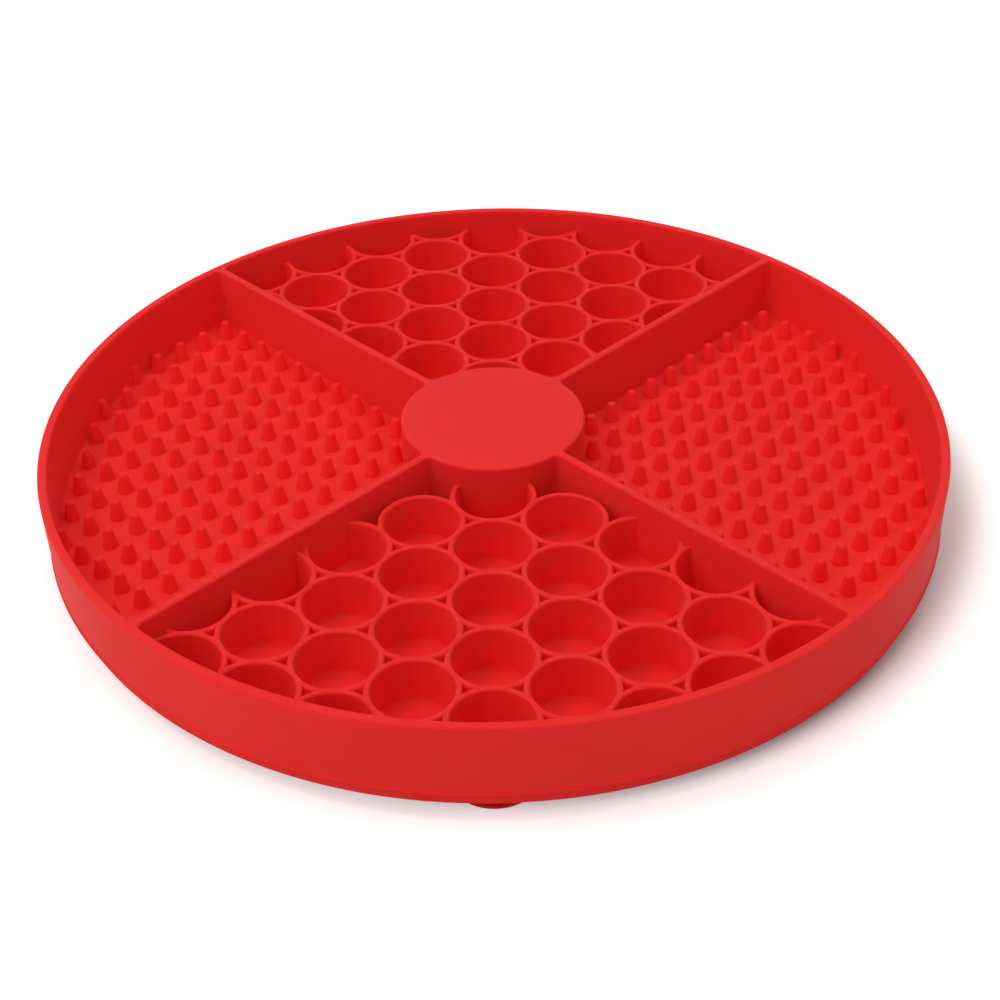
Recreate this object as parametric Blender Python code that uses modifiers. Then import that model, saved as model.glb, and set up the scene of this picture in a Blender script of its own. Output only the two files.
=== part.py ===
# Round silicone slow feeder: a shallow bowl divided by a cross of low walls and
# a centre hub. Two facing quarters hold honeycomb cells, the other two hold a
# field of nubs, and push-in suction cups under the floor keep the bowl in place.

import math

import bmesh
import bpy
from mathutils import Matrix

# Bowl: rim wall, floor and the foot ring under it (metres)
BOWL_RADIUS = 0.1000
RIM_TOP_THICKNESS = 0.0020
RIM_BASE_THICKNESS = 0.0030
RIM_ROUND = 0.0005
RIM_SKIRT = 0.0017
BOWL_DEPTH = 0.0150
FLOOR_THICKNESS = 0.0012
FOOT_INSET = 0.0013
FOOT_WIDTH = 0.0020

# Cross walls and centre hub
WALL_TOP_THICKNESS = 0.0018
WALL_BASE_THICKNESS = 0.0026
WALL_DROP = 0.0004
HUB_RADIUS = 0.0205
HUB_ROUND = 0.0008

# Textured quarter panels: the backing under them and the seam round every piece
BACKING_THICKNESS = 0.0011
SEAM = 0.0003

# Honeycomb: round cells on a hexagonal grid, whose tube walls run into each other
CELL_PITCH = 0.0174
CELL_WALL = 0.0012
CELL_HEIGHT = 0.0100
TUBE_OVERLAP = 0.0004
FIRST_CELL = 0.0402

# Nubs: blunt cones on a square grid that runs along the cross walls
NUB_PITCH = 0.00715
NUB_FIRST_ROW = 0.00535
NUB_BASE_RADIUS = 0.0018
NUB_TIP_RADIUS = 0.0008
NUB_HEIGHT = 0.0046

# Suction cups, and the sockets under the floor that their heads snap into
CUP_RADIUS = 0.00925
CUP_STAND = 0.0035
CUP_INSET = 0.00195
CUP_WALL = 0.0013
LIP_WIDTH = 0.0012
LIP_THICKNESS = 0.0006
SHOULDER_WIDTH = 0.0025
NECK_RADIUS = 0.0025
HEAD_OVERHANG = 0.0013
SOCKET_HEIGHT = 0.0026
SOCKET_LIP = 0.0010
SOCKET_WALL = 0.0022

# Facets
BOWL_STEPS = 64
HUB_STEPS = 36
CUP_STEPS = 18
CELL_STEPS = 16
POCKET_ARC_STEPS = 2
NUB_SIDES = 5
RIM_ROUND_STEPS = 1
HUB_ROUND_STEPS = 2

# Heights, counted up from the surface that the suction cups stand on
FOOT_Z = CUP_STAND
SOCKET_Z = FOOT_Z + SEAM
UNDERSIDE_Z = SOCKET_Z + SOCKET_HEIGHT
FLOOR_Z = UNDERSIDE_Z + FLOOR_THICKNESS
BACKING_Z = FLOOR_Z + SEAM
POCKET_Z = BACKING_Z + BACKING_THICKNESS
RIM_Z = POCKET_Z + BOWL_DEPTH
SKIRT_Z = POCKET_Z - RIM_SKIRT
CELL_TOP_Z = POCKET_Z + CELL_HEIGHT

# Places and sizes that follow from the ones above
FOOT_RADIUS = BOWL_RADIUS - FOOT_INSET
CUP_CIRCLE = FOOT_RADIUS - CUP_INSET - CUP_RADIUS
HEAD_RADIUS = NECK_RADIUS + HEAD_OVERHANG
CELL_RADIUS = (CELL_PITCH - CELL_WALL) / 2
TUBE_RADIUS = CELL_PITCH / 2 + TUBE_OVERLAP
COLUMN_PITCH = CELL_PITCH * math.sqrt(3) / 2
QUARTER_EDGE = WALL_BASE_THICKNESS / 2 + SEAM
QUARTER_INNER = HUB_RADIUS + SEAM

# A cutter runs past the face that it cuts by this much, and joined shapes sink
# into each other by half of the thinner one
CUT_PAST = 0.0020
WELD = 0.000001
SHARP_EDGE_DEG = 35

# The walls stand on the diagonals, so each quarter faces along X or Y. A panel is
# made with its walls along +X and +Y, where its middle lies on the diagonal.
FACING = {"right": 0, "back": 90, "left": 180, "front": -90}
QUARTER_MIDDLE = 45

# Dyed silicone, as linear colours
BOWL_RED = (0.76, 0.030, 0.022)
CELL_RED = (0.76, 0.028, 0.020)
NUB_RED = (0.78, 0.032, 0.023)
CUP_RED = (0.70, 0.030, 0.030)
MATT = 0.55
SATIN = 0.40


def rim_inner_radius(z):
    """Inside of the rim wall, which thickens from its top down to the floor."""
    slope = (RIM_BASE_THICKNESS - RIM_TOP_THICKNESS) / BOWL_DEPTH
    return BOWL_RADIUS - RIM_TOP_THICKNESS - slope * (RIM_Z - z)


def arc(centre_r, centre_z, radius, start_deg, end_deg, steps):
    """Points of a round edge in a turned profile."""
    points = []
    for i in range(steps + 1):
        angle = math.radians(start_deg + (end_deg - start_deg) * i / steps)
        points.append((centre_r + radius * math.cos(angle), centre_z + radius * math.sin(angle)))
    return points


def clear_scene():
    for obj in list(bpy.data.objects):
        bpy.data.objects.remove(obj, do_unlink=True)


def new_collection(name):
    collection = bpy.data.collections.new(name)
    bpy.context.scene.collection.children.link(collection)
    return collection


def silicone(name, colour, roughness):
    """Dyed silicone rubber, moulded with a matt skin."""
    material = bpy.data.materials.new(name)
    material.use_nodes = True
    shader = material.node_tree.nodes["Principled BSDF"]
    shader.inputs["Base Color"].default_value = (*colour, 1.0)
    shader.inputs["Roughness"].default_value = roughness
    shader.inputs["Metallic"].default_value = 0.0
    return material


def add_cutter(obj):
    """Keep a construction shape out of the finished model."""
    CUTTERS.objects.link(obj)
    obj.hide_render = True
    obj.display_type = "WIRE"
    return obj


def add_part(name, mesh, material, location=(0, 0, 0), turn_deg=0):
    mesh.materials.clear()
    mesh.materials.append(material)
    obj = bpy.data.objects.new(name, mesh)
    obj.location = location
    obj.rotation_euler = (0, 0, math.radians(turn_deg))
    PARTS.objects.link(obj)
    return obj


def turned(name, profile, steps, closed=False):
    """Solid turned about Z from a profile that runs down its outer side."""
    edges = [(i, i + 1) for i in range(len(profile) - 1)]
    if closed:
        edges.append((len(profile) - 1, 0))
    mesh = bpy.data.meshes.new(name)
    mesh.from_pydata([(r, 0, z) for r, z in profile], edges, [])
    obj = bpy.data.objects.new(name, mesh)
    screw = obj.modifiers.new("turn", "SCREW")
    screw.steps = steps
    screw.render_steps = steps
    screw.use_merge_vertices = True
    screw.merge_threshold = WELD
    return obj


def combine(obj, other, operation):
    modifier = obj.modifiers.new(operation.lower(), "BOOLEAN")
    modifier.operation = operation
    modifier.object = other


def settled(obj):
    """The mesh of an object with its modifiers applied and its seams welded."""
    bpy.context.view_layer.update()
    evaluated = obj.evaluated_get(bpy.context.evaluated_depsgraph_get())
    mesh = bpy.data.meshes.new_from_object(evaluated)
    bm = bmesh.new()
    bm.from_mesh(mesh)
    bmesh.ops.remove_doubles(bm, verts=bm.verts, dist=WELD)
    bm.to_mesh(mesh)
    bm.free()
    mesh.shade_smooth()
    mesh.set_sharp_from_angle(angle=math.radians(SHARP_EDGE_DEG))
    return mesh


def block(name, low, high):
    """Box between two corners."""
    bm = bmesh.new()
    bmesh.ops.create_cube(bm, size=1)
    size = [b - a for a, b in zip(low, high)]
    middle = [(a + b) / 2 for a, b in zip(low, high)]
    bmesh.ops.scale(bm, vec=size, verts=bm.verts)
    bmesh.ops.translate(bm, vec=middle, verts=bm.verts)
    mesh = bpy.data.meshes.new(name)
    bm.to_mesh(mesh)
    bm.free()
    return bpy.data.objects.new(name, mesh)


def bowl_shell():
    """Floor, rim wall and foot ring as one turned shell."""
    rim_middle_in = BOWL_RADIUS - RIM_TOP_THICKNESS + RIM_ROUND
    rim_middle_out = BOWL_RADIUS - RIM_ROUND
    profile = [(0, FLOOR_Z), (rim_inner_radius(FLOOR_Z), FLOOR_Z)]
    profile += arc(rim_middle_in, RIM_Z - RIM_ROUND, RIM_ROUND, 180, 90, RIM_ROUND_STEPS)
    profile += arc(rim_middle_out, RIM_Z - RIM_ROUND, RIM_ROUND, 90, 0, RIM_ROUND_STEPS)
    profile += arc(rim_middle_out, SKIRT_Z + RIM_ROUND, RIM_ROUND, 0, -90, RIM_ROUND_STEPS)
    profile += [
        (FOOT_RADIUS, SKIRT_Z),
        (FOOT_RADIUS, FOOT_Z),
        (FOOT_RADIUS - FOOT_WIDTH, FOOT_Z),
        (FOOT_RADIUS - FOOT_WIDTH, UNDERSIDE_Z),
        (0, UNDERSIDE_Z),
    ]
    return turned("bowl", profile, BOWL_STEPS)


def cross_wall(turn_deg):
    """One straight wall across the bowl, thinner at its top, with its ends in the rim."""
    reach = BOWL_RADIUS - RIM_TOP_THICKNESS / 2
    bottom = FLOOR_Z - FLOOR_THICKNESS / 2
    half = WALL_BASE_THICKNESS / 2
    wall = block("cross_wall", (-reach, -half, bottom), (reach, half, RIM_Z - WALL_DROP))
    for vertex in wall.data.vertices:
        if vertex.co.z > FLOOR_Z:
            vertex.co.y *= WALL_TOP_THICKNESS / WALL_BASE_THICKNESS
    wall.rotation_euler = (0, 0, math.radians(turn_deg))
    return add_cutter(wall)


def hub():
    """Round post where the walls cross, with a bare flat top level with the rim."""
    profile = [(0, RIM_Z)]
    profile += arc(HUB_RADIUS - HUB_ROUND, RIM_Z - HUB_ROUND, HUB_ROUND, 90, 0, HUB_ROUND_STEPS)
    profile += [(HUB_RADIUS, FLOOR_Z - FLOOR_THICKNESS / 2), (0, FLOOR_Z - FLOOR_THICKNESS / 2)]
    return add_cutter(turned("hub", profile, HUB_STEPS))


def cup_place(facing):
    """Foot of a cup's axis, under the middle of its quarter."""
    angle = math.radians(FACING[facing])
    return (CUP_CIRCLE * math.cos(angle), CUP_CIRCLE * math.sin(angle), 0)


def cup_socket(facing):
    """Ring under the floor with a narrow mouth, which holds the head of a cup."""
    chamber = HEAD_RADIUS + SEAM
    mouth = NECK_RADIUS + SEAM
    lip_z = SOCKET_Z + SOCKET_LIP
    root_z = UNDERSIDE_Z + FLOOR_THICKNESS / 2
    profile = [
        (chamber, root_z),
        (chamber + SOCKET_WALL, root_z),
        (chamber + SOCKET_WALL, SOCKET_Z),
        (mouth, SOCKET_Z),
        (mouth, lip_z),
        (chamber, lip_z),
    ]
    socket = turned("socket_" + facing, profile, CUP_STEPS, closed=True)
    socket.location = cup_place(facing)
    socket.rotation_euler = (0, 0, math.pi / CUP_STEPS)
    return add_cutter(socket)


def make_bowl():
    bowl = bowl_shell()
    for turn_deg in (QUARTER_MIDDLE, -QUARTER_MIDDLE):
        combine(bowl, cross_wall(turn_deg), "UNION")
    combine(bowl, hub(), "UNION")
    for facing in FACING:
        combine(bowl, cup_socket(facing), "UNION")
    bowl.data.materials.append(silicone("bowl_silicone", BOWL_RED, MATT))
    PARTS.objects.link(bowl)


def quarter_blank():
    """Straight-sided room of one quarter, with the walls along +X and +Y.

    It is clear of all that bounds it down to the backing, where the rim wall is thickest."""
    low = BACKING_Z - CUT_PAST
    high = RIM_Z + CUT_PAST
    outer = rim_inner_radius(BACKING_Z) - SEAM
    ring = [(QUARTER_INNER, high), (outer, high), (outer, low), (QUARTER_INNER, low)]
    blank = add_cutter(turned("quarter_blank", ring, BOWL_STEPS, closed=True))
    far = BOWL_RADIUS + CUT_PAST
    corner = block(
        "quarter_corner",
        (QUARTER_EDGE, QUARTER_EDGE, low - CUT_PAST),
        (far, far, high + CUT_PAST),
    )
    combine(blank, add_cutter(corner), "INTERSECT")
    return blank


def reaches_quarter(x, y, radius):
    """Whether a round feature shows inside a quarter."""
    beside_walls = min(x, y) > QUARTER_EDGE - radius
    distance = math.hypot(x, y)
    return beside_walls and QUARTER_INNER - radius < distance < BOWL_RADIUS + radius


def backing():
    """Plate under a panel, before it is trimmed to the quarter."""
    far = BOWL_RADIUS + CUT_PAST
    return block("backing", (0, 0, BACKING_Z), (far, far, POCKET_Z))


def cell_grid():
    """Centres of the honeycomb grid. Its columns run along the middle of the quarter."""
    columns = math.ceil(BOWL_RADIUS / COLUMN_PITCH)
    first_row = -math.ceil(FIRST_CELL / CELL_PITCH)
    last_row = math.ceil((BOWL_RADIUS - FIRST_CELL) / CELL_PITCH)
    for column in range(-columns, columns + 1):
        stagger = 0.5 * (column % 2)
        for row in range(first_row, last_row + 1):
            yield FIRST_CELL + (row - stagger) * CELL_PITCH, column * COLUMN_PITCH


def to_quarter(along, across):
    """From the middle line of the quarter to its frame, where the walls are the axes."""
    turn = math.sqrt(0.5)
    return (along - across) * turn, (along + across) * turn


def cell_outline(along, across):
    points = []
    for i in range(CELL_STEPS):
        angle = 2 * math.pi * i / CELL_STEPS
        points.append((along + CELL_RADIUS * math.cos(angle), across + CELL_RADIUS * math.sin(angle)))
    return points


def pocket_outline(along, across, side):
    """Three-cornered gap that the walls of three round cells leave between them."""
    to_cell = CELL_PITCH / math.sqrt(3)
    half_arc = math.radians(30) - math.acos(CELL_PITCH / 2 / TUBE_RADIUS)
    points = []
    for corner in range(3):
        facing = math.radians(90 * side + 120 * corner)
        cell_along = along + to_cell * math.cos(facing)
        cell_across = across + to_cell * math.sin(facing)
        for i in range(POCKET_ARC_STEPS):
            angle = facing + math.pi + half_arc * (1 - 2 * i / POCKET_ARC_STEPS)
            points.append((
                cell_along + TUBE_RADIUS * math.cos(angle),
                cell_across + TUBE_RADIUS * math.sin(angle),
            ))
    return points


def honeycomb_outlines():
    """Sheet that covers the quarter, and every cell and pocket that shows in it."""
    outlines = []
    pocket_reach = CELL_PITCH / math.sqrt(3) - CELL_RADIUS
    for along, across in cell_grid():
        if reaches_quarter(*to_quarter(along, across), CELL_RADIUS):
            outlines.append(cell_outline(along, across))
        for side in (1, -1):
            middle = (along + CELL_PITCH / 2, across + side * COLUMN_PITCH / 3)
            if reaches_quarter(*to_quarter(*middle), pocket_reach):
                outlines.append(pocket_outline(*middle, side))
    margin = BOWL_RADIUS + 2 * CELL_PITCH
    outlines.append([(-margin, -margin), (margin, -margin), (margin, margin), (-margin, margin)])
    return outlines


def honeycomb_walls():
    """The cell walls as one thick sheet with the cells and pockets left open."""
    sunk = BACKING_THICKNESS / 2
    curve = bpy.data.curves.new("cell_walls", "CURVE")
    curve.dimensions = "2D"
    curve.fill_mode = "BOTH"
    curve.extrude = (CELL_HEIGHT + sunk) / 2
    for outline in honeycomb_outlines():
        spline = curve.splines.new("POLY")
        spline.points.add(len(outline) - 1)
        for point, (along, across) in zip(spline.points, outline):
            point.co = (*to_quarter(along, across), 0, 1)
        spline.use_cyclic_u = True
    flat = bpy.data.objects.new("cell_walls", curve)
    flat.location.z = (CELL_TOP_Z + POCKET_Z - sunk) / 2
    add_cutter(flat)
    walls = bpy.data.objects.new("cell_walls_solid", settled(flat))
    walls.matrix_world = flat.matrix_world
    bpy.data.objects.remove(flat)
    return add_cutter(walls)


def honeycomb_mesh(blank):
    panel = add_cutter(backing())
    combine(panel, honeycomb_walls(), "UNION")
    combine(panel, blank, "INTERSECT")
    return settled(panel)


def nub_field():
    """All the nubs of one quarter, each a blunt cone with its root in the backing.

    Those on the line of the rim wall are trimmed to half nubs with the panel."""
    root_z = POCKET_Z - BACKING_THICKNESS / 2
    draft = (NUB_BASE_RADIUS - NUB_TIP_RADIUS) / NUB_HEIGHT
    root_radius = NUB_BASE_RADIUS + draft * (POCKET_Z - root_z)
    height = POCKET_Z + NUB_HEIGHT - root_z
    rows = math.ceil(BOWL_RADIUS / NUB_PITCH)
    bm = bmesh.new()
    for i in range(rows):
        for j in range(rows):
            x = NUB_FIRST_ROW + i * NUB_PITCH
            y = NUB_FIRST_ROW + j * NUB_PITCH
            in_reach = math.hypot(x, y) < rim_inner_radius(POCKET_Z) + NUB_TIP_RADIUS
            if not in_reach or math.hypot(x, y) < QUARTER_INNER + NUB_TIP_RADIUS:
                continue
            bmesh.ops.create_cone(
                bm,
                cap_ends=True,
                segments=NUB_SIDES,
                radius1=root_radius,
                radius2=NUB_TIP_RADIUS,
                depth=height,
                matrix=Matrix.Translation((x, y, root_z + height / 2)),
            )
    mesh = bpy.data.meshes.new("nub_field")
    bm.to_mesh(mesh)
    bm.free()
    return add_cutter(bpy.data.objects.new("nub_field", mesh))


def nub_mesh(blank):
    panel = add_cutter(backing())
    combine(panel, nub_field(), "UNION")
    combine(panel, blank, "INTERSECT")
    return settled(panel)


def make_panels():
    blank = quarter_blank()
    honeycomb = honeycomb_mesh(blank)
    nubs = nub_mesh(blank)
    cell_red = silicone("honeycomb_silicone", CELL_RED, MATT)
    nub_red = silicone("nub_silicone", NUB_RED, MATT)
    for facing in ("front", "back"):
        turn_deg = FACING[facing] - QUARTER_MIDDLE
        add_part("honeycomb_panel_" + facing, honeycomb, cell_red, turn_deg=turn_deg)
    for facing in ("left", "right"):
        turn_deg = FACING[facing] - QUARTER_MIDDLE
        add_part("nub_panel_" + facing, nubs, nub_red, turn_deg=turn_deg)


def cup_profile():
    """Snap-in head, neck, shoulder, flared skirt with a flat lip, and the hollow under it."""
    head_top = UNDERSIDE_Z - SEAM
    head_bottom = SOCKET_Z + SOCKET_LIP + SEAM
    shoulder = NECK_RADIUS + SHOULDER_WIDTH
    lip_inner = CUP_RADIUS - LIP_WIDTH
    waist = (shoulder + (CUP_RADIUS - shoulder) / 3, (CUP_STAND + LIP_THICKNESS) / 2)
    return [
        (0, head_top),
        (HEAD_RADIUS, head_top),
        (HEAD_RADIUS, head_bottom),
        (NECK_RADIUS, head_bottom),
        (NECK_RADIUS, CUP_STAND),
        (shoulder, CUP_STAND),
        waist,
        (CUP_RADIUS, LIP_THICKNESS),
        (CUP_RADIUS, 0),
        (lip_inner, 0),
        (waist[0] - CUP_WALL / 2, waist[1] - CUP_WALL / 2),
        (0, CUP_STAND - CUP_WALL),
    ]


def make_cups():
    mesh = settled(add_cutter(turned("cup_form", cup_profile(), CUP_STEPS)))
    cup_red = silicone("cup_silicone", CUP_RED, SATIN)
    for facing in FACING:
        add_part("suction_cup_" + facing, mesh, cup_red, location=cup_place(facing))


clear_scene()
PARTS = new_collection("slow_feeder_bowl")
CUTTERS = new_collection("cutters")
make_bowl()
make_panels()
make_cups()
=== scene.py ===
# %% [markdown]
# # A silicone slow feeder bowl
# The real object is one shallow moulding in dyed silicone: a round tray with a rim,
# a cross of low walls, a hub in the middle, honeycomb cells in two quarters and nubs
# in the other two. Small suction cups under the floor hold it to a smooth surface.
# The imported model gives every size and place. This script gives it its surface: the
# rounded edges, the fillets, the soft red rubber and the light.

# %% Load the frame and read its sizes
import math

import bmesh
import bpy
from mathutils import Matrix, Vector


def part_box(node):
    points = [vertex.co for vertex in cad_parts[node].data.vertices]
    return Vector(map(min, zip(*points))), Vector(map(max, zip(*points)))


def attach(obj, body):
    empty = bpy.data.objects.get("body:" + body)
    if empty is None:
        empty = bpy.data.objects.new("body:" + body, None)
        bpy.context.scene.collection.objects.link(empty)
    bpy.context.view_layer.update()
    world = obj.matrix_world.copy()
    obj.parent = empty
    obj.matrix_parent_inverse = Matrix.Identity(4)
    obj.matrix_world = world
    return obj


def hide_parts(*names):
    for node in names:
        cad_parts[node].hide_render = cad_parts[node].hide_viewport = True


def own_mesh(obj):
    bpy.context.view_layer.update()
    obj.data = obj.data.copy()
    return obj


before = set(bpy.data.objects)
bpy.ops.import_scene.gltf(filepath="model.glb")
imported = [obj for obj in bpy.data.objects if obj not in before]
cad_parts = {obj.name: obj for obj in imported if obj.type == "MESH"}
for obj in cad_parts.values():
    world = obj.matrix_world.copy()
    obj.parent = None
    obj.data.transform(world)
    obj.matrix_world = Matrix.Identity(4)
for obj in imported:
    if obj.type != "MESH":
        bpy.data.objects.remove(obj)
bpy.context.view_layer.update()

MM = 0.001
bowl_low, bowl_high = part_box("bowl")
cell_low, cell_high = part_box("honeycomb_panel_front")
_, nub_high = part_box("nub_panel_right")
cup_low, cup_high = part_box("suction_cup_right")

BOWL_RADIUS = bowl_high.x
RIM_Z = bowl_high.z
FOOT_Z = bowl_low.z
BACKING_Z = cell_low.z
CELL_TOP_Z = cell_high.z
NUB_TIP_Z = nub_high.z
CUP_RADIUS = (cup_high.x - cup_low.x) / 2
CUP_CIRCLE = (cup_high.x + cup_low.x) / 2
CUP_TOP_Z = cup_high.z

# The walls stand on the diagonals, so each quarter faces along X or Y
FACING = {"right": 0, "back": 90, "left": 180, "front": -90}
print("bowl", round(BOWL_RADIUS * 2 / MM), "mm across and", round(RIM_Z / MM, 1), "mm high")

# %% [markdown]
# ## Small helpers
# Most pieces below are built from loops of points: a turned shape is a stack of round
# loops, and the side of a quarter is a stack of loops that run round the quarter. Two
# neighbouring loops are skinned with quads. A Bevel modifier could round the edges
# afterwards, but a few extra loops give each edge its own radius, and they never fail
# where a wall runs into the rim.

# %% Loops and skins
def arc(centre, radius, start, end, steps):
    """Points along an arc in a plane, with its angles in radians."""
    points = []
    for i in range(steps + 1):
        angle = start + (end - start) * i / steps
        points.append((centre[0] + radius * math.cos(angle), centre[1] + radius * math.sin(angle)))
    return points


def add_loop(bm, points):
    return [bm.verts.new(point) for point in points]


def skin(bm, first, second):
    """A band of quads between two closed loops that have the same number of points."""
    for i in range(len(first)):
        bm.faces.new((first[i - 1], second[i - 1], second[i], first[i]))


def add_turned(bm, profile, steps, centre=(0, 0)):
    """Closed shape turned about an upright axis. A profile that starts on the axis ends there too."""
    loops = []
    for radius, z in profile:
        ring = arc(centre, radius, 0, 2 * math.pi, steps)[:-1]
        loops.append(add_loop(bm, [(x, y, z) for x, y in ring]))
    for first, second in zip(loops, loops[1:]):
        skin(bm, first, second)
    if profile[0][0] > 0:
        skin(bm, loops[-1], loops[0])


# %% Finished meshes and objects
WELD = 0.002 * MM
SHARP_EDGE_DEG = 38


def finished_mesh(bm, name):
    """Weld the points that meet, turn the faces outwards and hand over the mesh."""
    bmesh.ops.remove_doubles(bm, verts=bm.verts, dist=WELD)
    bmesh.ops.recalc_face_normals(bm, faces=bm.faces)
    mesh = bpy.data.meshes.new(name)
    bm.to_mesh(mesh)
    bm.free()
    return mesh


def turned_mesh(name, profile, steps, centre=(0, 0)):
    bm = bmesh.new()
    add_turned(bm, profile, steps, centre)
    return finished_mesh(bm, name)


def add_object(name, mesh):
    obj = bpy.data.objects.new(name, mesh)
    bpy.context.scene.collection.objects.link(obj)
    return obj


def dressed(name, mesh, material):
    """The finished piece: smooth, with its creases kept sharp, and in one material."""
    mesh.shade_smooth()
    mesh.set_sharp_from_angle(angle=math.radians(SHARP_EDGE_DEG))
    mesh.materials.clear()
    mesh.materials.append(material)
    return add_object(name, mesh)


def baked(obj, name):
    """The plain mesh that an object's modifiers give. The object itself is removed."""
    bpy.context.view_layer.update()
    evaluated = obj.evaluated_get(bpy.context.evaluated_depsgraph_get())
    mesh = bpy.data.meshes.new_from_object(evaluated)
    mesh.name = name
    bpy.data.objects.remove(obj)
    return mesh


def combined(mesh, other, operation):
    """Two closed meshes joined to one, or what they share."""
    work = add_object("work", mesh)
    tool = add_object("tool", other)
    step = work.modifiers.new("combine", "BOOLEAN")
    step.operation = operation
    step.solver = "MANIFOLD"
    step.object = tool
    result = baked(work, operation.lower())
    bpy.data.objects.remove(tool)
    return result


# %% Nodes
def add_node(tree, kind, values=None, links=None, **settings):
    """Add a node, set its properties and input values, and link its inputs."""
    node = tree.nodes.new(kind)
    for name, value in settings.items():
        setattr(node, name, value)
    for socket, value in (values or {}).items():
        node.inputs[socket].default_value = value
    for socket, source in (links or {}).items():
        tree.links.new(source, node.inputs[socket])
    return node


def maths(tree, operation, *inputs):
    """The result of a Math node. Each input is a float or the socket that feeds it."""
    values = {i: source for i, source in enumerate(inputs) if isinstance(source, float)}
    links = {i: source for i, source in enumerate(inputs) if i not in values}
    return add_node(tree, "ShaderNodeMath", values, links, operation=operation).outputs[0]


# %% [markdown]
# ## The finish: moulded silicone
# Food-grade silicone is dyed right through and leaves its mould with a matt skin. Light
# enters it and comes out a little farther on, redder than before, so the deep cells
# glow and no shadow is black. Subsurface scattering does this, with a longer path for
# red than for green and blue. The skin itself, with an IOR of about 1.41, adds only a
# weak and broad sheen. A flat colour would look like paint. The dye is therefore a
# little uneven, the skin has a fine grain, and a few dust specks cling to it, as they do
# to silicone. The cups get a smoother skin, because their lips are polished to seal.

# %% Colours
DEEP_RED = "#f0312f"
BRIGHT_RED = "#f63634"
DUST_PINK = "#f3c4bc"


def linear(hex_colour):
    """An sRGB hex colour as linear values with full alpha."""
    values = []
    for i in (1, 3, 5):
        c = int(hex_colour[i:i + 2], 16) / 255
        values.append(c / 12.92 if c <= 0.04045 else ((c + 0.055) / 1.055) ** 2.4)
    return (*values, 1.0)


print("deep red in linear values:", [round(value, 3) for value in linear(DEEP_RED)])

# %% Silicone materials
MATT = 0.55
POLISHED = 0.36
GLOSS_SPREAD = 0.07       # the roughness varies this much with the dye
SILICONE_IOR = 1.41
SHEEN_LEVEL = 0.05        # the matt skin scatters most of the reflection
GLOW_DEPTH = 1.8 * MM     # how far red light travels inside the rubber
GLOW_BY_COLOUR = (1.0, 0.18, 0.14)
MOTTLE = 14 * MM          # uneven dye and handling marks
MOTTLE_DETAIL = 4.0
GRAIN = 0.7 * MM          # the real grain is under 0.1 mm, drawn coarser so that it shows
GRAIN_DETAIL = 2.0
GRAIN_DEPTH = 0.02 * MM
GRAIN_STRENGTH = 0.6
DUST_SPACING = 7 * MM
DUST_SIZE = 0.22 * MM     # real specks are smaller, drawn as large as a pixel needs
DUST_SHOWN = 0.5
MIX_A, MIX_B, MIX_OUT = 6, 7, 2     # the colour sockets of a Mix node


def silicone(name, roughness):
    """Dyed silicone with faint mottling, a fine grain and a few dust specks."""
    material = bpy.data.materials.new(name)
    material.use_nodes = True
    tree = material.node_tree
    shader = tree.nodes["Principled BSDF"]
    shader.inputs["IOR"].default_value = SILICONE_IOR
    shader.inputs["Specular IOR Level"].default_value = SHEEN_LEVEL
    shader.inputs["Subsurface Weight"].default_value = 1.0
    shader.inputs["Subsurface Radius"].default_value = GLOW_BY_COLOUR
    shader.inputs["Subsurface Scale"].default_value = GLOW_DEPTH
    place = add_node(tree, "ShaderNodeTexCoord").outputs["Object"]

    mottle = add_node(
        tree, "ShaderNodeTexNoise", {"Scale": 1 / MOTTLE, "Detail": MOTTLE_DETAIL}, {"Vector": place},
    )
    dye = add_node(
        tree, "ShaderNodeMix", {MIX_A: linear(DEEP_RED), MIX_B: linear(BRIGHT_RED)},
        {"Factor": mottle.outputs["Fac"]}, data_type="RGBA",
    )

    specks = add_node(tree, "ShaderNodeTexVoronoi", {"Scale": 1 / DUST_SPACING}, {"Vector": place})
    speck = add_node(
        tree, "ShaderNodeMapRange",
        {"From Min": DUST_SIZE / DUST_SPACING, "From Max": 0.0, "To Max": DUST_SHOWN},
        {"Value": specks.outputs["Distance"]},
    )
    colour = add_node(
        tree, "ShaderNodeMix", {MIX_B: linear(DUST_PINK)},
        {"Factor": speck.outputs["Result"], MIX_A: dye.outputs[MIX_OUT]}, data_type="RGBA",
    )
    tree.links.new(colour.outputs[MIX_OUT], shader.inputs["Base Color"])

    skin_gloss = add_node(
        tree, "ShaderNodeMapRange",
        {"To Min": roughness - GLOSS_SPREAD, "To Max": roughness + GLOSS_SPREAD},
        {"Value": mottle.outputs["Fac"]},
    )
    tree.links.new(skin_gloss.outputs["Result"], shader.inputs["Roughness"])

    grain = add_node(
        tree, "ShaderNodeTexNoise", {"Scale": 1 / GRAIN, "Detail": GRAIN_DETAIL}, {"Vector": place},
    )
    bump = add_node(
        tree, "ShaderNodeBump", {"Strength": GRAIN_STRENGTH, "Distance": GRAIN_DEPTH},
        {"Height": grain.outputs["Fac"]},
    )
    tree.links.new(bump.outputs["Normal"], shader.inputs["Normal"])
    return material


red = silicone("moulded_silicone_red", MATT)
cup_red = silicone("polished_silicone_red", POLISHED)
print("finishes:", red.name, cup_red.name)

# %% [markdown]
# ## The outline of a quarter
# A cross of walls and a round hub divide the bowl into four quarters. Seen from above,
# a quarter is bounded by the hub, two walls and the rim, with a round corner wherever
# a wall starts or ends, because a mould has no sharp inner corners. One function gives
# this outline for any wall thickness. Called at falling heights with thicker walls, it
# gives the draft that lets the moulding leave its tool, and called with larger corners
# it gives the rounded top edges.

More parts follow.
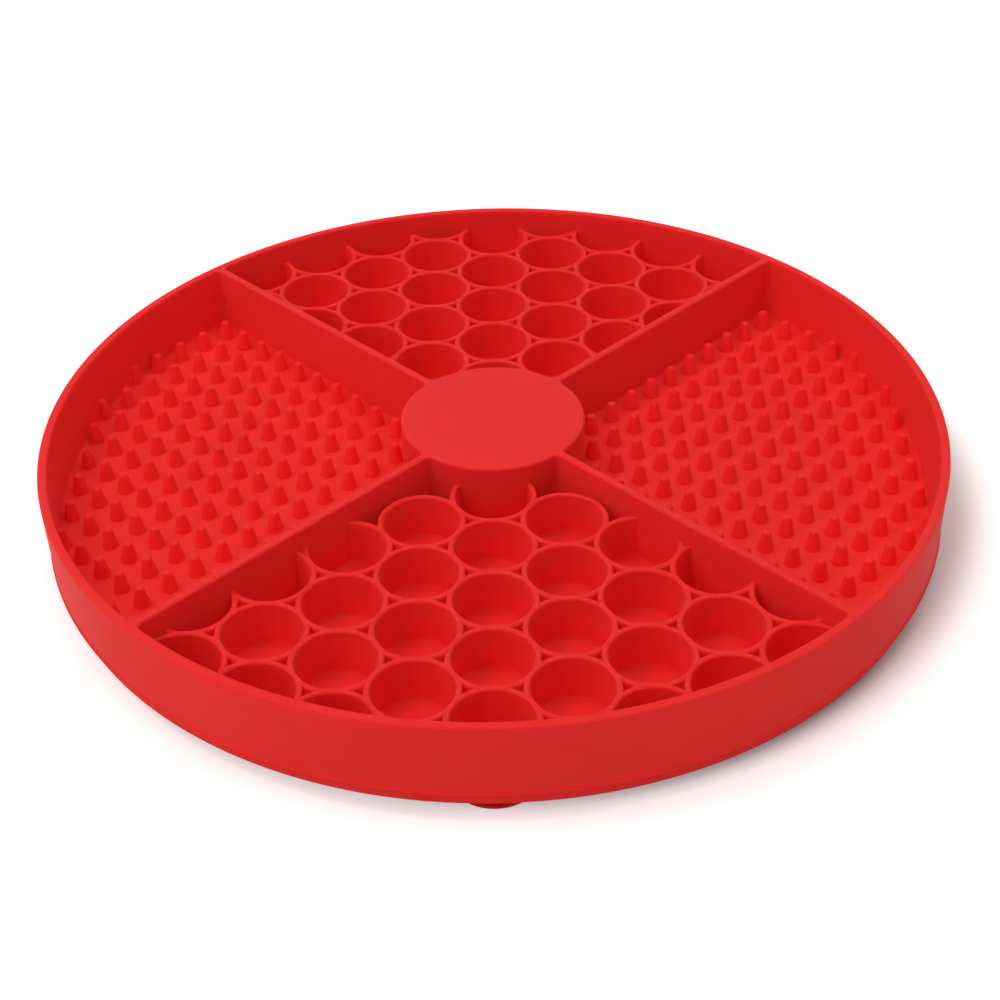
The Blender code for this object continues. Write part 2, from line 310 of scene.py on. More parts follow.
# %% Outline of one quarter
RIM_THICKNESS = 2.0 * MM
RIM_DRAFT = 1.0 * MM
WALL_THICKNESS = 1.8 * MM
WALL_DRAFT = 0.8 * MM
HUB_RADIUS = 20.5 * MM
CORNER = 1.2 * MM
CORNER_STEPS = 5
WALL_STEPS = 24
RIM_STEPS = 32
HUB_STEPS = 24
EIGHTH = math.pi / 4


def quarter_outline(rim, wall, hub, corner):
    """Points round the quarter that faces +X, from the hub out along one wall and back along the other."""
    level = wall + corner
    start = math.sqrt((hub + corner) ** 2 - level ** 2)
    end = math.sqrt((rim - corner) ** 2 - level ** 2)
    hub_turn = math.atan2(level, start)
    rim_turn = math.atan2(level, end)
    half = arc((start, level), corner, math.pi + hub_turn, 1.5 * math.pi, CORNER_STEPS)
    for i in range(1, WALL_STEPS):
        half.append((start + (end - start) * i / WALL_STEPS, wall))
    half += arc((end, level), corner, -math.pi / 2, rim_turn, CORNER_STEPS)
    half += arc((0, 0), rim, rim_turn, EIGHTH, RIM_STEPS)[1:]
    mirrored = [(y, x) for x, y in reversed(half[:-1])]
    hub_side = arc((0, 0), hub, 2 * EIGHTH - hub_turn, hub_turn, HUB_STEPS)[1:-1]
    turn = Matrix.Rotation(-EIGHTH, 2)
    return [turn @ Vector(point) for point in half + mirrored + hub_side]


rim_inner = BOWL_RADIUS - RIM_THICKNESS
HALF_COUNT = 2 * CORNER_STEPS + WALL_STEPS + RIM_STEPS + 1
RIM_START = 2 * CORNER_STEPS + WALL_STEPS       # where the outline reaches the rim


def opposite(i):
    """The point of an outline that mirrors point i across the middle of the quarter."""
    return 2 * HALF_COUNT - 2 - i


top_outline = quarter_outline(rim_inner, WALL_THICKNESS / 2, HUB_RADIUS, CORNER)
print("outline of a quarter:", len(top_outline), "points")

# %% [markdown]
# ## The bowl
# The tray, rim, cross walls and hub leave the mould as one body, so they are one mesh.
# Cutting four quarters out of a disc with Booleans would work, but it leaves ragged
# faces at just the edges that catch the light. Here every quarter is a stack of
# outlines from the rounded top edge down the drafted wall to the fillet at its foot,
# and the last outline is filled as the floor. Flat strips join the quarters along the
# wall tops, the rim and the hub, and rings outside them make the outer wall, the foot
# ring and the underside.

# %% Sides of a quarter, the rim and the foot
EDGE_ROUND = 0.45 * MM
FOOT_FILLET = 0.8 * MM
EDGE_STEPS = 5
EDGE_BAND = 0.5 * MM        # an extra loop this far past a rounded edge keeps the flat face flat
FLOOR_BAND = 0.3 * MM       # the same on the floor, past the fillet
PANEL_Z = BACKING_Z + 1.1 * MM
UNDERSIDE_Z = BACKING_Z - 1.5 * MM
SKIRT_Z = PANEL_Z - 2.1 * MM
SKIRT_ROUND = 0.35 * MM
PARTING = 0.3 * MM          # the mould leaves a fine lip where its halves meet
FOOT_RADIUS = BOWL_RADIUS - 1.3 * MM
FOOT_WIDTH = 2.0 * MM
JUNCTION_STEPS = 4          # points on the outer edge where a wall meets the rim

quarter_depth = RIM_Z - PANEL_Z


def side_of_quarter():
    """(shift outwards, depth) of each outline, from the rounded top edge to the fillet at the foot."""
    levels = []
    for i in range(EDGE_STEPS + 1):
        turn = math.pi / 2 * i / EDGE_STEPS
        levels.append((EDGE_ROUND * (1 - math.sin(turn)), EDGE_ROUND * (1 - math.cos(turn))))
    levels.append((0, EDGE_ROUND + EDGE_BAND))
    levels.append((0, quarter_depth - FOOT_FILLET - EDGE_BAND))
    for i in range(EDGE_STEPS + 1):
        turn = math.pi / 2 * i / EDGE_STEPS
        depth = quarter_depth - FOOT_FILLET * (1 - math.sin(turn))
        levels.append((-FOOT_FILLET * (1 - math.cos(turn)), depth))
    levels.append((-FOOT_FILLET - FLOOR_BAND, quarter_depth))
    return levels


def quarter_loop(bm, shift, depth, turn_deg):
    """One outline of a quarter as a loop of points in the bowl, turned to its place."""
    share = depth / quarter_depth
    outline = quarter_outline(
        rim_inner - RIM_DRAFT * share + shift,
        (WALL_THICKNESS + WALL_DRAFT * share) / 2 - shift,
        HUB_RADIUS - shift,
        CORNER + shift,
    )
    turn = Matrix.Rotation(math.radians(turn_deg), 2)
    return add_loop(bm, [(*(turn @ point), RIM_Z - depth) for point in outline])


def outer_profile():
    """(radius, height) down the outside of the bowl, under its foot and in to the underside."""
    top_centre = (BOWL_RADIUS - EDGE_ROUND, RIM_Z - EDGE_ROUND)
    skirt_centre = (BOWL_RADIUS - SKIRT_ROUND, SKIRT_Z + SKIRT_ROUND)
    foot_centre = (FOOT_RADIUS - SKIRT_ROUND, FOOT_Z + SKIRT_ROUND)
    top = arc(top_centre, EDGE_ROUND, math.pi / 2, 0, EDGE_STEPS)
    bottom = arc(skirt_centre, SKIRT_ROUND, 0, -math.pi / 2, EDGE_STEPS)
    foot = arc(foot_centre, SKIRT_ROUND, 0, -math.pi / 2, EDGE_STEPS)
    return [
        *top,
        (BOWL_RADIUS, RIM_Z - EDGE_ROUND - EDGE_BAND),
        (BOWL_RADIUS - PARTING, SKIRT_Z + SKIRT_ROUND + PARTING),
        *bottom,
        (FOOT_RADIUS, SKIRT_Z),
        *foot,
        (FOOT_RADIUS - FOOT_WIDTH, FOOT_Z),
        (FOOT_RADIUS - FOOT_WIDTH, UNDERSIDE_Z),
    ]


print("side of a quarter:", len(side_of_quarter()), "outlines, outside:", len(outer_profile()), "rings")

# %% Join the quarters to one bowl
def build_bowl():
    """Tray, rim, cross walls, hub and foot ring as one closed skin."""
    bm = bmesh.new()
    tops = []
    for turn_deg in sorted(FACING.values()):
        loops = [quarter_loop(bm, shift, depth, turn_deg) for shift, depth in side_of_quarter()]
        for first, second in zip(loops, loops[1:]):
            skin(bm, first, second)
        bm.faces.new(loops[-1])
        tops.append(loops[0])

    # Strips along the tops of the walls, each between two quarters
    edge = []
    hub_edge = []
    for before, top in zip([tops[-1], *tops[:-1]], tops):
        for i in range(RIM_START):
            bm.faces.new((before[opposite(i)], before[opposite(i + 1)], top[i + 1], top[i]))
        edge.append((before[opposite(RIM_START)], top[RIM_START]))
        hub_edge += [top[0], *reversed(top[opposite(0):])]

    hub_face = add_loop(bm, [v.co * (1 - EDGE_BAND / HUB_RADIUS) for v in hub_edge])
    for vert in hub_face:
        vert.co.z = RIM_Z
    skin(bm, hub_edge, hub_face)
    bm.faces.new(hub_face)

    # Rings outside the rim, with a point for each point of its inner edge
    ring_angles = []
    rim_edge = []
    for (last, first), top in zip(edge, tops):
        start = math.atan2(last.co.y, last.co.x)
        width = (math.atan2(first.co.y, first.co.x) - start) % (2 * math.pi)
        ring_angles += [start + width * i / JUNCTION_STEPS for i in range(1, JUNCTION_STEPS)]
        rim_edge += [None] * (JUNCTION_STEPS - 1)
        for vert in top[RIM_START:opposite(RIM_START) + 1]:
            ring_angles.append(math.atan2(vert.co.y, vert.co.x))
            rim_edge.append(vert)

    rings = []
    for radius, z in outer_profile():
        rings.append(add_loop(bm, [(radius * math.cos(a), radius * math.sin(a), z) for a in ring_angles]))
    for first, second in zip(rings, rings[1:]):
        skin(bm, first, second)
    bm.faces.new(rings[-1])

    # The flat top of the rim, and the places where a wall runs into it
    land = rings[0]
    for i, vert in enumerate(rim_edge):
        if vert and rim_edge[i - 1]:
            bm.faces.new((rim_edge[i - 1], land[i - 1], land[i], vert))
    for q, (last, first) in enumerate(edge):
        step = len(land) // len(edge)
        across = [land[q * step + k - 1] for k in range(JUNCTION_STEPS + 1)]
        bm.faces.new((last, *across, first))
    return bm


moulding = finished_mesh(build_bowl(), "bowl")
print("bowl mesh:", len(moulding.polygons), "faces")

# %% [markdown]
# ## Cup sockets under the floor
# Each suction cup has a head that snaps into a ring moulded under the floor. The ring
# has a narrow mouth and a wider chamber. It is a turned shape, closed in itself, that
# starts a little way inside the floor, and a Boolean joins it with the bowl.

# %% Four socket rings
SOCKET_Z = FOOT_Z + 0.3 * MM
SOCKET_LIP = 1.0 * MM
NECK_RADIUS = 2.5 * MM
HEAD_RADIUS = 3.8 * MM
SOCKET_GAP = 0.3 * MM
SOCKET_WALL = 2.2 * MM
ROOT = 0.3 * MM
CUP_SIDES = 48

mouth = NECK_RADIUS + SOCKET_GAP
chamber = HEAD_RADIUS + SOCKET_GAP
socket_profile = [
    (mouth, SOCKET_Z),
    (mouth, SOCKET_Z + SOCKET_LIP),
    (chamber, SOCKET_Z + SOCKET_LIP),
    (chamber, UNDERSIDE_Z + ROOT),
    (chamber + SOCKET_WALL, UNDERSIDE_Z + ROOT),
    (chamber + SOCKET_WALL, SOCKET_Z + SOCKET_GAP),
    (chamber + SOCKET_WALL - SOCKET_GAP, SOCKET_Z),
]


def cup_place(facing):
    """Foot of a cup's axis, under the middle of its quarter."""
    angle = math.radians(FACING[facing])
    return (CUP_CIRCLE * math.cos(angle), CUP_CIRCLE * math.sin(angle))


for facing in FACING:
    socket = turned_mesh("socket", socket_profile, CUP_SIDES, cup_place(facing))
    moulding = combined(moulding, socket, "UNION")
print("bowl with sockets:", len(moulding.polygons), "faces")

# %% [markdown]
# ## A lattice in Geometry Nodes
# The cells and the nubs are both one small shape, repeated on a flat grid that the
# quarter's edges cut off. The cells stand on a hexagonal grid, where every second
# column is shifted by half a step, and the nubs on a square one. One node tree makes
# both: it lays out a grid of whole numbers, turns row and column into real places,
# drops those that are out of reach or behind a wall, and puts the shape on the rest.
# Neighbouring cells share their walls. Overlapping copies can't be joined to one body
# while they lie in the same mesh, so the tree can also keep one share of the grid at a
# time: on a hexagonal grid, three shares are enough to keep all neighbours apart.

# %% Inputs of the lattice
lattice = bpy.data.node_groups.new("moulded_lattice", "GeometryNodeTree")
LATTICE_INPUTS = {
    "Shape": "NodeSocketObject",
    "Finish": "NodeSocketMaterial",
    "First Place": "NodeSocketVector",
    "Row Pitch": "NodeSocketFloat",
    "Column Pitch": "NodeSocketFloat",
    "Stagger": "NodeSocketFloat",
    "Turn": "NodeSocketFloat",
    "Nearest": "NodeSocketFloat",
    "Farthest": "NodeSocketFloat",
    "From Walls": "NodeSocketFloat",
    "Shares": "NodeSocketFloat",
    "Share": "NodeSocketFloat",
}
lattice.interface.new_socket("Geometry", in_out="INPUT", socket_type="NodeSocketGeometry")
lattice.interface.new_socket("Geometry", in_out="OUTPUT", socket_type="NodeSocketGeometry")
lattice_socket = {}
for name, kind in LATTICE_INPUTS.items():
    lattice_socket[name] = lattice.interface.new_socket(name, in_out="INPUT", socket_type=kind).identifier

given = add_node(lattice, "NodeGroupInput").outputs
print("lattice inputs:", ", ".join(LATTICE_INPUTS))

# %% Where the copies stand
GRID_REACH = 16

number = add_node(lattice, "GeometryNodeMeshGrid", {
    "Size X": 2 * GRID_REACH, "Size Y": 2 * GRID_REACH,
    "Vertices X": 2 * GRID_REACH + 1, "Vertices Y": 2 * GRID_REACH + 1,
})
position = add_node(lattice, "GeometryNodeInputPosition").outputs["Position"]
index = add_node(lattice, "ShaderNodeSeparateXYZ", links={"Vector": position}).outputs
odd = maths(lattice, "FLOORED_MODULO", index["Y"], 2.0)
row = maths(lattice, "SUBTRACT", index["X"], maths(lattice, "MULTIPLY", odd, given["Stagger"]))
along = maths(lattice, "MULTIPLY", row, given["Row Pitch"])
across = maths(lattice, "MULTIPLY", index["Y"], given["Column Pitch"])
step = add_node(lattice, "ShaderNodeCombineXYZ", links={"X": along, "Y": across})
flat = add_node(
    lattice, "ShaderNodeVectorMath", None, {0: step.outputs[0], 1: given["First Place"]}, operation="ADD",
)
place = add_node(
    lattice, "ShaderNodeVectorRotate", None, {"Vector": flat.outputs[0], "Angle": given["Turn"]},
    rotation_type="Z_AXIS",
).outputs[0]

print("grid of", 2 * GRID_REACH + 1, "by", 2 * GRID_REACH + 1, "places")

# %% Which of them stay
radius = add_node(lattice, "ShaderNodeVectorMath", None, {0: place}, operation="LENGTH").outputs["Value"]
spot = add_node(lattice, "ShaderNodeSeparateXYZ", links={"Vector": place}).outputs
ahead = maths(lattice, "SUBTRACT", spot["X"], maths(lattice, "ABSOLUTE", spot["Y"]))
from_walls = maths(lattice, "MULTIPLY", ahead, math.sqrt(0.5))
skew = maths(lattice, "MULTIPLY_ADD", index["Y"], given["Stagger"], index["Y"])
rank = maths(lattice, "SUBTRACT", skew, row)
share_of = maths(lattice, "FLOORED_MODULO", rank, given["Shares"])

drop_where = [
    (radius, "LESS_THAN", "Nearest"),
    (radius, "GREATER_THAN", "Farthest"),
    (from_walls, "LESS_THAN", "From Walls"),
    (share_of, "NOT_EQUAL", "Share"),
]
reasons = []
for value, comparison, limit in drop_where:
    reasons.append(add_node(
        lattice, "FunctionNodeCompare", None, {0: value, 1: given[limit]}, operation=comparison,
    ).outputs[0])
dropped = reasons[0]
for reason in reasons[1:]:
    dropped = add_node(
        lattice, "FunctionNodeBooleanMath", None, {0: dropped, 1: reason}, operation="OR",
    ).outputs[0]
kept = add_node(
    lattice, "GeometryNodeDeleteGeometry", None,
    {"Geometry": number.outputs["Mesh"], "Selection": dropped}, domain="POINT",
)
print("a place is dropped for one of", len(reasons), "reasons")

# %% The copies
placed = add_node(
    lattice, "GeometryNodeSetPosition", None, {"Geometry": kept.outputs[0], "Position": place},
)
shape = add_node(lattice, "GeometryNodeObjectInfo", None, {"Object": given["Shape"]})
copies = add_node(
    lattice, "GeometryNodeInstanceOnPoints", None,
    {"Points": placed.outputs[0], "Instance": shape.outputs["Geometry"]},
)
real = add_node(lattice, "GeometryNodeRealizeInstances", None, {"Geometry": copies.outputs[0]})
finish = add_node(
    lattice, "GeometryNodeSetMaterial", None, {"Geometry": real.outputs[0], "Material": given["Finish"]},
)
add_node(lattice, "NodeGroupOutput", None, {"Geometry": finish.outputs[0]})


def lattice_of(shape_mesh, **inputs):
    """Copies of a shape on the lattice, as one plain mesh. The input Row Pitch is given as row_pitch."""
    unit = add_object("unit", shape_mesh)
    holder = add_object("holder", bpy.data.meshes.new("holder"))
    modifier = holder.modifiers.new("lattice", "NODES")
    modifier.node_group = lattice
    values = {"Shape": unit, "Finish": red}
    values.update({name.replace("_", " ").title(): value for name, value in inputs.items()})
    for name, value in values.items():
        modifier[lattice_socket[name]] = value
    mesh = baked(holder, "lattice")
    bpy.data.objects.remove(unit)
    return mesh


print("lattice tree:", len(lattice.nodes), "nodes")

# %% [markdown]
# ## The room of a quarter
# A pattern fills the floor of its quarter and runs into the walls round it without a
# seam, as it does in the real moulding. It is therefore trimmed by the room of the
# quarter, an upright prism whose sides lie inside the walls, where the cut edges don't
# show.

# %% Room of one quarter
ROOM_MARGIN = 0.4 * MM
ROOM_CORNER = 0.5 * MM


def room_mesh():
    outline = quarter_outline(
        rim_inner + ROOM_MARGIN,
        WALL_THICKNESS / 2 - ROOM_MARGIN,
        HUB_RADIUS - ROOM_MARGIN,
        ROOM_CORNER,
    )
    bm = bmesh.new()
    top = add_loop(bm, [(x, y, RIM_Z) for x, y in outline])
    bottom = add_loop(bm, [(x, y, BACKING_Z) for x, y in outline])
    skin(bm, top, bottom)
    bm.faces.new(top)
    bm.faces.new(bottom)
    return finished_mesh(bm, "room")


room = room_mesh()
print("room of a quarter:", len(room.vertices), "points")

# %% [markdown]
# ## Honeycomb cells
# Round cells stand side by side, and each shares its thin wall with its neighbours.
# Three round walls leave a small pocket with pointed corners between them. It is only
# some two millimetres deep, because no mould has such thin tall pins. A sheet with holes
# would give walls of the wrong shape. Here each cell is turned as a small cup with a
# rounded rim and a fillet round its floor, the cups are joined where they overlap, and
# a short plug fills each pocket from below. The rim, the hub and the cross walls cut the
# outer cells off, and one that would lie mostly behind a wall or under the hub is left
# out.

# %% One cell
CELL_PITCH = 17.4 * MM
CELL_WALL = 1.2 * MM
CELL_OVERLAP = 0.65 * MM
CELL_DRAFT = 0.3 * MM
CELL_FILLET = 1.0 * MM
CELL_ROUND = 0.45 * MM
FIRST_CELL = 40.2 * MM
CELL_SIDES = 60
CELL_STEPS = 7
CREST_STEPS = 4
CELL_FLOOR_RISE = 0.05 * MM     # keeps the cell floors clear of the bowl's own floor

cell_outer = CELL_PITCH / 2 + CELL_OVERLAP
cell_inner = cell_outer - CELL_WALL
round_z = CELL_TOP_Z - CELL_ROUND
cell_floor = cell_inner - CELL_DRAFT
cell_floor_z = PANEL_Z + CELL_FLOOR_RISE
fillet_centre = (cell_floor - CELL_FILLET, cell_floor_z + CELL_FILLET)
cell_profile = [
    (0, cell_floor_z),
    *arc(fillet_centre, CELL_FILLET, -math.pi / 2, 0, CELL_STEPS),
    (cell_inner, round_z - EDGE_BAND),
    *arc((cell_inner + CELL_ROUND, round_z), CELL_ROUND, math.pi, math.pi / 2, CREST_STEPS),
    *arc((cell_outer - CELL_ROUND, round_z), CELL_ROUND, math.pi / 2, 0, CREST_STEPS),
    (cell_outer, round_z - EDGE_BAND),
    (cell_outer, BACKING_Z),
    (0, BACKING_Z),
]
cell_shape = turned_mesh("cell", cell_profile, CELL_SIDES)
print("cell:", round(cell_inner * 2 / MM, 1), "mm wide,", len(cell_shape.polygons), "faces")

# %% The honeycomb of one quarter
CELL_SHARES = 3
CELL_GRID = {
    "row_pitch": CELL_PITCH,
    "column_pitch": CELL_PITCH * math.sin(math.pi / 3),
    "stagger": 0.5,
    "turn": 0.0,
}
LEAST_CELL = -4.0 * MM      # a cell whose middle lies farther behind a wall is left out
LEAST_HUB_CELL = 1.0 * MM   # and so is one whose middle isn't this far out of the hub
POCKET_DEPTH = 1.8 * MM
POCKET_PLUG = 1.7 * MM      # covers a pocket and stays within the walls of its three cells
POCKET_CLEAR = 5.0 * MM     # nearer to a wall or the hub, a pocket isn't closed all round
PLUG_SIDES = 12

cell_shares = []
for share in range(CELL_SHARES):
    cell_shares.append(lattice_of(
        cell_shape, **CELL_GRID, first_place=(FIRST_CELL, 0.0, 0.0),
        nearest=HUB_RADIUS + LEAST_HUB_CELL, farthest=BOWL_RADIUS + cell_outer, from_walls=LEAST_CELL,
        shares=float(CELL_SHARES), share=float(share),
    ))
honeycomb = combined(combined(cell_shares[0], cell_shares[1], "UNION"), cell_shares[2], "UNION")

pocket_z = CELL_TOP_Z - POCKET_DEPTH
pocket_profile = [(0, pocket_z), (POCKET_PLUG, pocket_z), (POCKET_PLUG, BACKING_Z), (0, BACKING_Z)]
pocket_plug = turned_mesh("pocket_plug", pocket_profile, PLUG_SIDES)
for side in (1, -1):
    middle = (FIRST_CELL + CELL_PITCH / 2, side * CELL_PITCH / 2 * math.tan(math.pi / 6), 0.0)
    plugs = lattice_of(
        pocket_plug, **CELL_GRID, first_place=middle,
        nearest=HUB_RADIUS + POCKET_CLEAR, farthest=rim_inner, from_walls=POCKET_CLEAR,
        shares=1.0, share=0.0,
    )
    honeycomb = combined(honeycomb, plugs, "UNION")
honeycomb = combined(honeycomb, room, "INTERSECT")
print("honeycomb:", len(honeycomb.polygons), "faces in a quarter")

# %% [markdown]
# ## Nubs
# Rows of blunt cones run along the cross walls on a square grid, each with a rounded
# tip that catches the light. There are hundreds, so one nub has only a few rings of
# twelve points. Those on the line of the rim are cut to half nubs by the room, as in
# the real moulding, where they stand against the wall.

# %% One nub and the field of one quarter
NUB_PITCH = 7.15 * MM
NUB_FIRST_ROW = 5.35 * MM
NUB_SIDES = 12
NUB_ROOT = 1.9 * MM
NUB_TIP = 1.05 * MM
NUB_TIP_ROUND = 0.6 * MM
NUB_TIP_STEPS = 3
NUB_TIP_END_DEG = 10        # where the round of the tip runs into the side

tip_centre = (NUB_TIP - NUB_TIP_ROUND, NUB_TIP_Z - NUB_TIP_ROUND)
nub_profile = [
    (0, NUB_TIP_Z),
    *arc(tip_centre, NUB_TIP_ROUND, math.pi / 2, math.radians(NUB_TIP_END_DEG), NUB_TIP_STEPS),
    (NUB_ROOT, PANEL_Z),
    (NUB_ROOT, BACKING_Z),
    (0, BACKING_Z),
]
nub_shape = turned_mesh("nub", nub_profile, NUB_SIDES)

nubs = lattice_of(
    nub_shape, first_place=(NUB_FIRST_ROW, NUB_FIRST_ROW, 0.0), row_pitch=NUB_PITCH,
    column_pitch=NUB_PITCH, stagger=0.0, turn=-EIGHTH,
    nearest=HUB_RADIUS + NUB_TIP, farthest=rim_inner, from_walls=0.0, shares=1.0, share=0.0,
)
field = combined(nubs, room, "INTERSECT")
print("nub:", len(nub_shape.polygons), "faces, field:", len(field.polygons), "faces")

# %% [markdown]
# ## One moulding
# Bowl, sockets, cells and nubs leave the mould as one body, and light travels through
# the rubber from one to the next. Pieces that only touch would hide faces inside the
# floor and the walls, where that light is lost, and every joint would show as a dark
# line. So the four patterns are joined with the bowl to one closed mesh. It stands for
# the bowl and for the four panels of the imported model.

# %% Join the patterns with the bowl
PANELS = {"front": "honeycomb_panel", "back": "honeycomb_panel", "left": "nub_panel", "right": "nub_panel"}

nodes = ["bowl"]
for facing, kind in PANELS.items():
    pattern = (honeycomb if kind == "honeycomb_panel" else field).copy()
    pattern.transform(Matrix.Rotation(math.radians(FACING[facing]), 4, "Z"))
    moulding = combined(moulding, pattern, "UNION")
    nodes.append(kind + "_" + facing)

bowl = dressed("silicone_moulding", moulding, red)
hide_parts(*nodes)
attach(bowl, "bowl")
bowl.data.calc_loop_triangles()
print("moulding:", len(bowl.data.loop_triangles), "triangles, for", ", ".join(nodes))

# %% [markdown]
# ## Suction cups
# A cup is a soft skirt with a thin lip on a snap-in plug. The plug stays in its socket
# while the skirt is pressed flat, so they are two pieces: the plug rides with the bowl,
# and the skirt is attached to a body of its own. A sculpted bell would do, but a turned
# profile is what the real mould holds.

# %% Skirts and plugs
CUP_STAND = FOOT_Z
CUP_WALL = 1.3 * MM
LIP_THICKNESS = 0.6 * MM
LIP_WIDTH = 1.2 * MM
SHOULDER = NECK_RADIUS + 2.5 * MM
FLARE_STEPS = 8
FLARE_POWER = 1.7

skirt_outside = []
skirt_inside = []
for i in range(FLARE_STEPS + 1):
    share = i / FLARE_STEPS
    fall = (1 - share) ** FLARE_POWER
    out = SHOULDER + (CUP_RADIUS - LIP_THICKNESS / 2 - SHOULDER) * share
    skirt_outside.append((out, LIP_THICKNESS + (CUP_STAND - LIP_THICKNESS) * fall))
    inside = (CUP_RADIUS - LIP_WIDTH) * (1 - share)
    skirt_inside.append((inside, (CUP_STAND - CUP_WALL) * (1 - fall)))
lip = arc(
    (CUP_RADIUS - LIP_THICKNESS / 2, LIP_THICKNESS / 2), LIP_THICKNESS / 2,
    math.pi / 2, -math.pi / 2, EDGE_STEPS,
)
skirt_profile = [(0, CUP_STAND), *skirt_outside, *lip[1:], *skirt_inside]
plug_profile = [
    (0, CUP_TOP_Z),
    (HEAD_RADIUS - SOCKET_GAP, CUP_TOP_Z),
    (HEAD_RADIUS, CUP_TOP_Z - SOCKET_GAP),
    (HEAD_RADIUS, SOCKET_Z + SOCKET_LIP + SOCKET_GAP),
    (NECK_RADIUS, SOCKET_Z + SOCKET_LIP + SOCKET_GAP),
    (NECK_RADIUS, CUP_STAND),
    (0, CUP_STAND),
]

for facing in FACING:
    x, y = cup_place(facing)
    skirt = dressed("cup_skirt_" + facing, turned_mesh("skirt", skirt_profile, CUP_SIDES, (x, y)), cup_red)
    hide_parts("suction_cup_" + facing)
    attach(skirt, "cup_" + facing)
    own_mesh(skirt)
    plug = dressed("cup_plug_" + facing, turned_mesh("plug", plug_profile, CUP_SIDES, (x, y)), cup_red)
    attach(plug, "bowl")
print("suction cups:", len(FACING), "skirts of", round(CUP_RADIUS * 2 / MM, 1), "mm")

# %% [markdown]
# ## Floor, light and camera
# The object stands on a plain white sweep. A key lamp up on the left gives the shadow
# inside the left rim and a weak one on the floor to the right. A wide lamp overhead and
# one in front, to the left, soften it, a weak low one on the left gives the outer wall
# its sheen, and an even dome fills the cells. The floor's own colour stays a little under
# white so that it holds a shadow, and what is seen of it is lifted to white, also in a
# reflection, and more so far out, where the lamps don't reach. In a fixed round patch
# under the bowl, shifted a little to the back and to the right, the lift is left out: a
# painted shadow, deeper than the one the lamps cast there. The camera has the
# photograph's height, distance and slight roll.

# %% White floor
FLOOR_SIZE = 8.0
FLOOR_WHITE = "#fafafa"
PAPER_ROUGHNESS = 0.9
WHITE = (1, 1, 1, 1)
FLOOR_LIFT = 0.45
FAR_LIFT = 0.75             # where only the dome lights the floor
LAMPS_REACH = 0.5           # the lamps light the floor evenly up to here
LAMPS_END = 1.8             # and hardly at all past here
PAINTED_SHADOW_CENTRE = (8 * MM, 10 * MM, 0)     # the painted shadow lies to the back and to the right
PAINTED_SHADOW_START = 97 * MM       # nearer to that centre the floor isn't lifted: a painted shadow
PAINTED_SHADOW_END = 108 * MM        # and from here on it is


def seen_directly(tree):
    """1 for a ray from the camera, or from a reflection or a clear piece, and 0 for light on the object."""
    ray = add_node(tree, "ShaderNodeLightPath").outputs
    shown = maths(tree, "MAXIMUM", ray["Is Camera Ray"], ray["Is Glossy Ray"])
    return maths(tree, "MAXIMUM", shown, ray["Is Transmission Ray"])


floor_bm = bmesh.new()
bmesh.ops.create_grid(floor_bm, x_segments=1, y_segments=1, size=FLOOR_SIZE / 2)
floor = add_object("floor", finished_mesh(floor_bm, "floor"))
paper = bpy.data.materials.new("white_paper_sweep")
paper.use_nodes = True
paper_tree = paper.node_tree
paper_shader = paper_tree.nodes["Principled BSDF"]
paper_shader.inputs["Base Color"].default_value = linear(FLOOR_WHITE)
paper_shader.inputs["Roughness"].default_value = PAPER_ROUGHNESS
paper_shader.inputs["Specular IOR Level"].default_value = 0.0
paper_shader.inputs["Emission Color"].default_value = WHITE

floor_place = add_node(paper_tree, "ShaderNodeTexCoord").outputs["Object"]
distance = add_node(paper_tree, "ShaderNodeVectorMath", None, {0: floor_place}, operation="LENGTH")
lift = add_node(
    paper_tree, "ShaderNodeMapRange",
    {"From Min": LAMPS_REACH, "From Max": LAMPS_END, "To Min": FLOOR_LIFT, "To Max": FAR_LIFT},
    {"Value": distance.outputs["Value"]},
)
# The lift is left out in a fixed round patch: a painted shadow on the floor
from_painted_shadow = add_node(
    paper_tree, "ShaderNodeVectorMath", {1: PAINTED_SHADOW_CENTRE}, {0: floor_place}, operation="DISTANCE",
)
outside_painted_shadow = add_node(
    paper_tree, "ShaderNodeMapRange", {"From Min": PAINTED_SHADOW_START, "From Max": PAINTED_SHADOW_END},
    {"Value": from_painted_shadow.outputs["Value"]}, interpolation_type="SMOOTHSTEP",
)
open_lift = maths(paper_tree, "MULTIPLY", lift.outputs["Result"], outside_painted_shadow.outputs["Result"])
lift_seen = maths(paper_tree, "MULTIPLY", open_lift, seen_directly(paper_tree))
paper_tree.links.new(lift_seen, paper_shader.inputs["Emission Strength"])
floor.data.materials.append(paper)
print("floor:", FLOOR_SIZE, "m across in", paper.name)

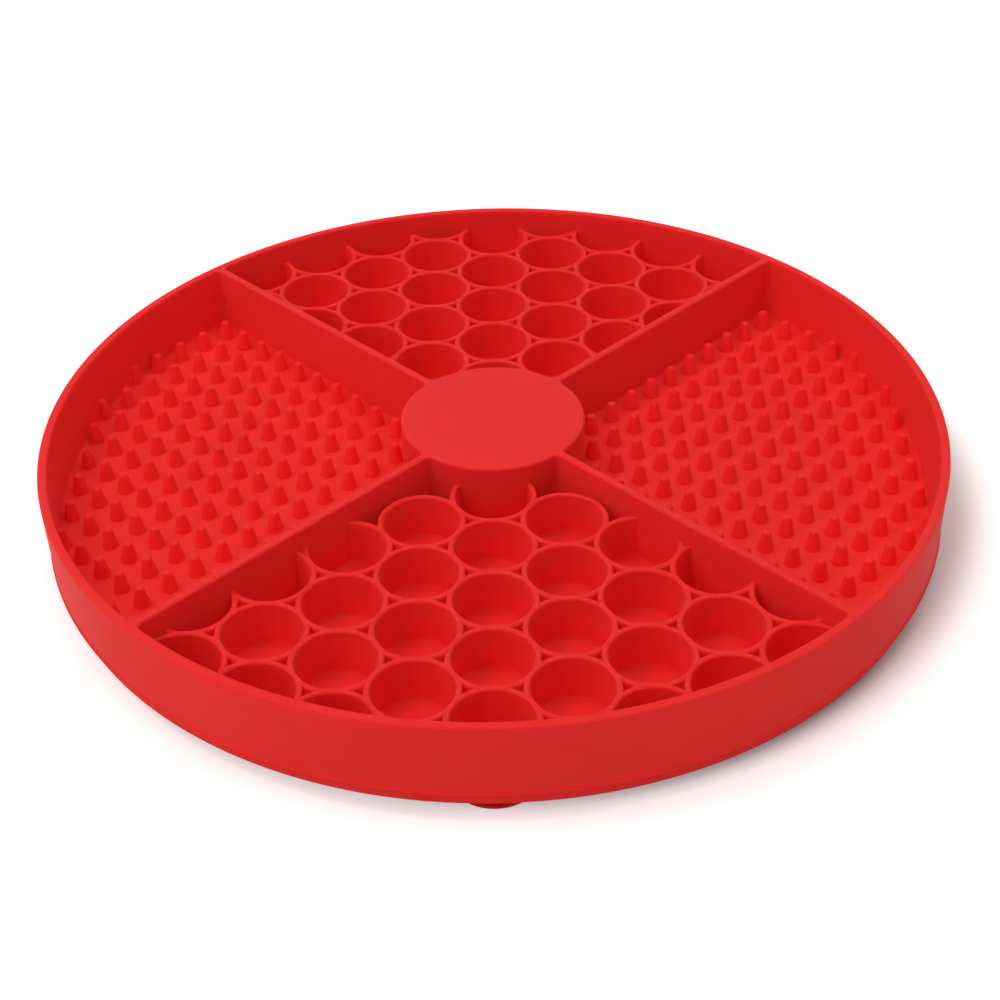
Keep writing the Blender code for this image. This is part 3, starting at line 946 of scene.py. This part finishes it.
# %% Dome and soft lamps
DOME_LIGHT = 0.285
LAMPS = {
    "key": {"place": (-0.6, -0.1, 1.0), "size": 0.25, "power": 2.0, "colour": "#fff6ec"},
    "overhead": {"place": (0.1, 0.05, 1.1), "size": 1.3, "power": 5.9, "colour": "#fff8f0"},
    "front": {"place": (-0.6, -0.75, 0.8), "size": 0.8, "power": 2.6, "colour": "#f4f8ff"},
    "left": {"place": (-1.0, -0.25, 0.35), "size": 0.6, "power": 0.4, "colour": "#ffffff"},
}


def softbox(name, place, size, power, colour):
    """Square soft lamp that looks at the middle of the bowl."""
    lamp = bpy.data.lights.new(name, "AREA")
    lamp.size = size
    lamp.energy = power
    lamp.color = linear(colour)[:3]
    obj = bpy.data.objects.new(name, lamp)
    obj.location = place
    obj.rotation_euler = (-Vector(place)).to_track_quat("-Z", "Y").to_euler()
    bpy.context.scene.collection.objects.link(obj)


world = bpy.data.worlds.new("studio")
world.use_nodes = True
bpy.context.scene.world = world
world_tree = world.node_tree
dome = world_tree.nodes["Background"]
dome.inputs["Color"].default_value = WHITE
strength = add_node(
    world_tree, "ShaderNodeMapRange", {"To Min": DOME_LIGHT, "To Max": 1.0},
    {"Value": seen_directly(world_tree)},
)
world_tree.links.new(strength.outputs["Result"], dome.inputs["Strength"])

for name, values in LAMPS.items():
    softbox(name, **values)
bpy.context.scene.view_settings.view_transform = "Standard"
print("lamps:", ", ".join(LAMPS), "and a dome")

# %% Camera
LENS = 64.61
CAMERA_TARGET = (1.16 * MM, 0, 0.65 * MM)
CAMERA_DISTANCE = 414.4 * MM
CAMERA_AZIMUTH_DEG = 0.7
CAMERA_ELEVATION_DEG = 36.56
CAMERA_ROLL_DEG = -1.43
CLIP_START = 10 * MM

lens = bpy.data.cameras.new("camera")
lens.lens = LENS
lens.clip_start = CLIP_START
camera = bpy.data.objects.new("camera", lens)
camera.matrix_world = (
    Matrix.Translation(CAMERA_TARGET)
    @ Matrix.Rotation(math.radians(CAMERA_AZIMUTH_DEG), 4, "Z")
    @ Matrix.Rotation(math.radians(90 - CAMERA_ELEVATION_DEG), 4, "X")
    @ Matrix.Translation((0, 0, CAMERA_DISTANCE))
    @ Matrix.Rotation(math.radians(CAMERA_ROLL_DEG), 4, "Z")
)
bpy.context.scene.collection.objects.link(camera)
bpy.context.scene.camera = camera
print("camera at", [round(value, 3) for value in camera.matrix_world.translation])
